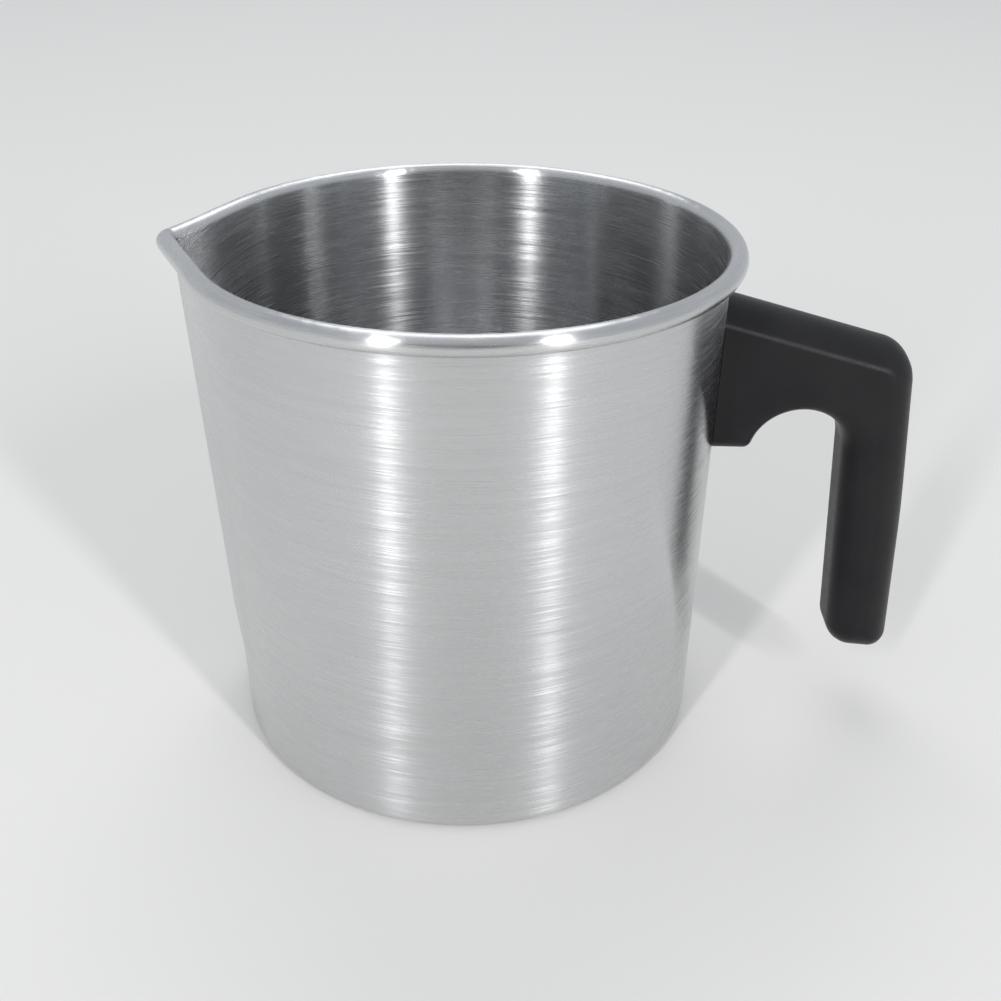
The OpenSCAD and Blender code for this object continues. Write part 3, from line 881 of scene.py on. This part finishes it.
    def cutters(self) -> list[bpy.types.Object]:
        """Make the solids that the wall, bracket, counterbore and screw take out of the blank."""
        bore_x = self.wall_radius + self.bore_skin + self.bore_radius
        heel_z = self.top_z - self.heel_height
        bore_top = heel_z + self.bore_depth
        low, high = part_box("handle_bracket")
        gap = self.pocket_gap
        inside = self.wall_radius - self.buried
        pocket_low = Vector((inside, low.y - gap, bore_top + self.pad))
        pocket_high = Vector((high.x + gap, high.y + gap, self.top_z - self.roof))
        return [
            round_cutter(0.0, self.wall_radius + self.seat_gap, 0.0, self.top_z * 1.2, 720),
            box_cutter(pocket_low, pocket_high),
            round_cutter(bore_x, self.bore_radius, heel_z - 1.0 * MM, bore_top, 96),
            round_cutter(bore_x, self.shank_radius, bore_top - 1.0 * MM, bore_top + self.pad + 1.0 * MM, 64),
        ]

    def build(self, material: bpy.types.Material) -> bpy.types.Object:
        """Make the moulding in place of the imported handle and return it."""
        piece = self.blank()
        for cutter in self.cutters():
            cut(piece, cutter)
        piece.data.polygons.foreach_set("use_smooth", [True] * len(piece.data.polygons))
        piece.data.set_sharp_from_angle(angle=math.radians(38.0))
        weigh = piece.modifiers.new("weigh", "WEIGHTED_NORMAL")
        weigh.keep_sharp = True
        weigh.weight = 80
        dress(piece, material)
        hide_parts("handle")
        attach(piece, ROOT_BODY)
        return piece


# ------------------------------------------------------------------------------ cuts


def round_cutter(x: float, radius: float, low: float, high: float, count: int) -> bpy.types.Object:
    """Make an upright round solid to cut with.

    Args:
        x: Where its axis stands along X.
        radius: Its radius.
        low: The height of its lower end.
        high: The height of its upper end.
        count: How many sides it has.

    Returns:
        The solid.
    """
    turns = steps(0.0, math.tau, count, False)
    rings = [
        [Vector((x + radius * math.cos(a), radius * math.sin(a), z)) for a in turns]
        for z in (low, high)
    ]
    faces: list[tuple[int, ...]] = list(ring_faces(0, count, count))
    faces.append(tuple(reversed(range(count))))
    faces.append(tuple(count + i for i in range(count)))
    return smooth_mesh("cutter", rings[0] + rings[1], faces, 30.0)


def box_cutter(low: Vector, high: Vector) -> bpy.types.Object:
    """Make a square-cornered solid to cut with, between two corners."""
    mesh = bpy.data.meshes.new("cutter")
    shape = bmesh.new()
    size = high - low
    place = Matrix.Translation((low + high) / 2.0) @ Matrix.Diagonal((*size, 1.0))
    bmesh.ops.create_cube(shape, size=1.0, matrix=place)
    shape.to_mesh(mesh)
    shape.free()
    piece = bpy.data.objects.new("cutter", mesh)
    bpy.context.scene.collection.objects.link(piece)
    return piece


def cut(piece: bpy.types.Object, cutter: bpy.types.Object) -> None:
    """Cut one solid out of another, and remove the cutter."""
    modifier = piece.modifiers.new("cut", "BOOLEAN")
    modifier.operation = "DIFFERENCE"
    modifier.solver = "EXACT"
    modifier.object = cutter
    graph = bpy.context.evaluated_depsgraph_get()
    result = bpy.data.meshes.new_from_object(piece.evaluated_get(graph))
    before = piece.data
    piece.modifiers.clear()
    piece.data = result
    result.name = piece.name
    bpy.data.meshes.remove(before)
    bpy.data.objects.remove(cutter)


# ------------------------------------------------------------------------------ fastenings


class Fastening(Enum):
    """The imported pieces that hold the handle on, each with its record slot."""

    BRACKET = ("handle_bracket", Slot.STEEL)
    UPPER_RIVET = ("upper_rivet", Slot.RIVET)
    LOWER_RIVET = ("lower_rivet", Slot.RIVET)
    FLAT_WASHER = ("flat_washer", Slot.STEEL)
    SPRING_WASHER = ("spring_washer", Slot.STEEL)
    SCREW = ("handle_screw", Slot.STEEL)


@dataclass(frozen=True)
class Fastenings:
    """The bracket, rivets, washers and screw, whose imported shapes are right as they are."""

    finishes: dict[Slot, bpy.types.Material]

    def build(self) -> list[bpy.types.Object]:
        """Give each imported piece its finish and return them."""
        pieces = []
        for fastening in Fastening:
            node, slot = fastening.value
            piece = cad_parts[node]
            dress(piece, self.finishes[slot])
            pieces.append(piece)
        return pieces


# ------------------------------------------------------------------------------ studio


@dataclass(frozen=True)
class SoftBox:
    """A rectangular studio light, placed by its direction from the pot."""

    name: str
    azimuth: float
    elevation: float
    distance: float
    width: float
    height: float
    radiance: float
    colour: tuple[float, float, float] = (1.0, 1.0, 1.0)

    def build(self, aim: Vector) -> bpy.types.Object:
        """Make the light facing a point.

        Args:
            aim: The point that it faces.

        Returns:
            The light.
        """
        data = bpy.data.lights.new(self.name, "AREA")
        data.shape = "RECTANGLE"
        data.size, data.size_y = self.width, self.height
        data.energy = self.radiance * math.pi * self.width * self.height
        data.color = self.colour
        light = bpy.data.objects.new(self.name, data)
        across, up = math.radians(self.azimuth), math.radians(self.elevation)
        towards = Vector((math.sin(across) * math.cos(up), -math.cos(across) * math.cos(up), math.sin(up)))
        light.location = aim + towards * self.distance
        light.rotation_euler = towards.to_track_quat("Z", "Y").to_euler()
        bpy.context.scene.collection.objects.link(light)
        return light


@dataclass
class Studio:
    """The pale floor, the soft surroundings, the lights and the camera."""

    floor_radius: float = 4.0
    camera_place: tuple[float, float, float] = (0.01618, -0.25020, 0.20340)
    camera_turn: float = 3.7
    camera_aside: float = 1.976
    camera_tilt: float = 30.551
    camera_roll: float = 0.577
    lens: float = 40.65
    sensor: float = 36.0
    sky: float = 0.62
    sky_colour: tuple[float, float, float] = (0.91, 0.95, 0.99)
    dim_colour: tuple[float, float, float] = (0.14, 0.132, 0.122)
    dim_from: float = 0.80
    dim_full: float = 0.98
    left_key: float = 32.5
    right_key: float = 36.0
    key_elevation: float = 27.0
    key_distance: float = 2.4
    key_width: float = 0.15
    key_height: float = 1.2
    key_radiance: float = 38.0

    def camera(self) -> bpy.types.Object:
        """Make the camera and look through it."""
        data = bpy.data.cameras.new("camera")
        data.sensor_width = self.sensor
        data.lens = self.lens
        data.clip_start, data.clip_end = 0.01, 50.0
        camera = bpy.data.objects.new("camera", data)
        turn = Matrix.Rotation(math.radians(self.camera_turn - self.camera_aside), 4, "Z")
        tilt = Matrix.Rotation(math.radians(90.0 - self.camera_tilt), 4, "X")
        roll = Matrix.Rotation(math.radians(self.camera_roll), 4, "Z")
        camera.matrix_world = Matrix.Translation(self.camera_place) @ turn @ tilt @ roll
        bpy.context.scene.collection.objects.link(camera)
        bpy.context.scene.camera = camera
        return camera

    def floor(self) -> bpy.types.Object:
        """Make the floor as a wide disc that the pot stands on."""
        count = 96
        points = [
            Vector((self.floor_radius * math.cos(a), self.floor_radius * math.sin(a), 0.0))
            for a in steps(0.0, math.tau, count, False)
        ]
        floor = smooth_mesh("studio_floor", points, [tuple(range(count))], 30.0)
        dress(floor, FloorPaint().build())
        return floor

    def surroundings(self) -> bpy.types.World:
        """Make the soft light that comes from all round, and much dimmer from the camera's side."""
        world = bpy.data.worlds.new("surroundings")
        world.use_nodes = True
        graph = Graph(world.node_tree)
        output = graph.add("ShaderNodeOutputWorld")
        light = graph.add("ShaderNodeBackground")
        graph.join(light.outputs[0], output.inputs["Surface"])
        place = graph.add("ShaderNodeTexCoord").outputs["Generated"]
        toward = graph.add("ShaderNodeVectorMath", operation="DOT_PRODUCT")
        graph.join(place, toward.inputs[0])
        turn = math.radians(self.camera_turn)
        toward.inputs[1].default_value = (math.sin(turn), -math.cos(turn), 0.0)
        near = graph.spread(toward.outputs["Value"], self.dim_from, self.dim_full, 0.0, 1.0)
        colour = graph.blend(near, (*self.sky_colour, 1.0), (*self.dim_colour, 1.0))
        graph.join(colour, light.inputs["Color"])
        light.inputs["Strength"].default_value = self.sky
        bpy.context.scene.world = world
        return world

    def build(self, aim: Vector) -> None:
        """Set up the studio round the point that the lights face."""
        self.camera()
        self.floor()
        self.surroundings()
        for name, angle in (("key_left", -self.left_key), ("key_right", self.right_key)):
            SoftBox(
                name=name,
                azimuth=self.camera_turn + angle,
                elevation=self.key_elevation,
                distance=self.key_distance,
                width=self.key_width,
                height=self.key_height,
                radiance=self.key_radiance,
            ).build(aim)
        behind = self.camera_turn + 180.0
        SoftBox("back", behind, elevation=55.0, distance=3.0, width=2.0, height=1.5, radiance=2.0).build(aim)
        bpy.context.scene.view_settings.view_transform = "Standard"


# ------------------------------------------------------------------------------ the whole pot


def main() -> None:
    """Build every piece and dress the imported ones."""
    logging.basicConfig(level=logging.INFO, format="%(name)s: %(message)s")
    steel, aluminium = ZincPlate().build(), UpsetAluminium().build()
    shell = PotShell()
    pieces = [shell.build(TurnedAluminium().build())]
    pieces.append(Handle(wall_radius=shell.radius).build(BlackPhenolic().build()))
    pieces += Fastenings({Slot.STEEL: steel, Slot.RIVET: aluminium}).build()
    for piece in pieces:
        log.info("%s: %d faces", piece.name, len(piece.data.polygons))
    Studio().build(Vector((0.0, 0.0, shell.height / 2.0)))


if __name__ == "__main__":
    main()
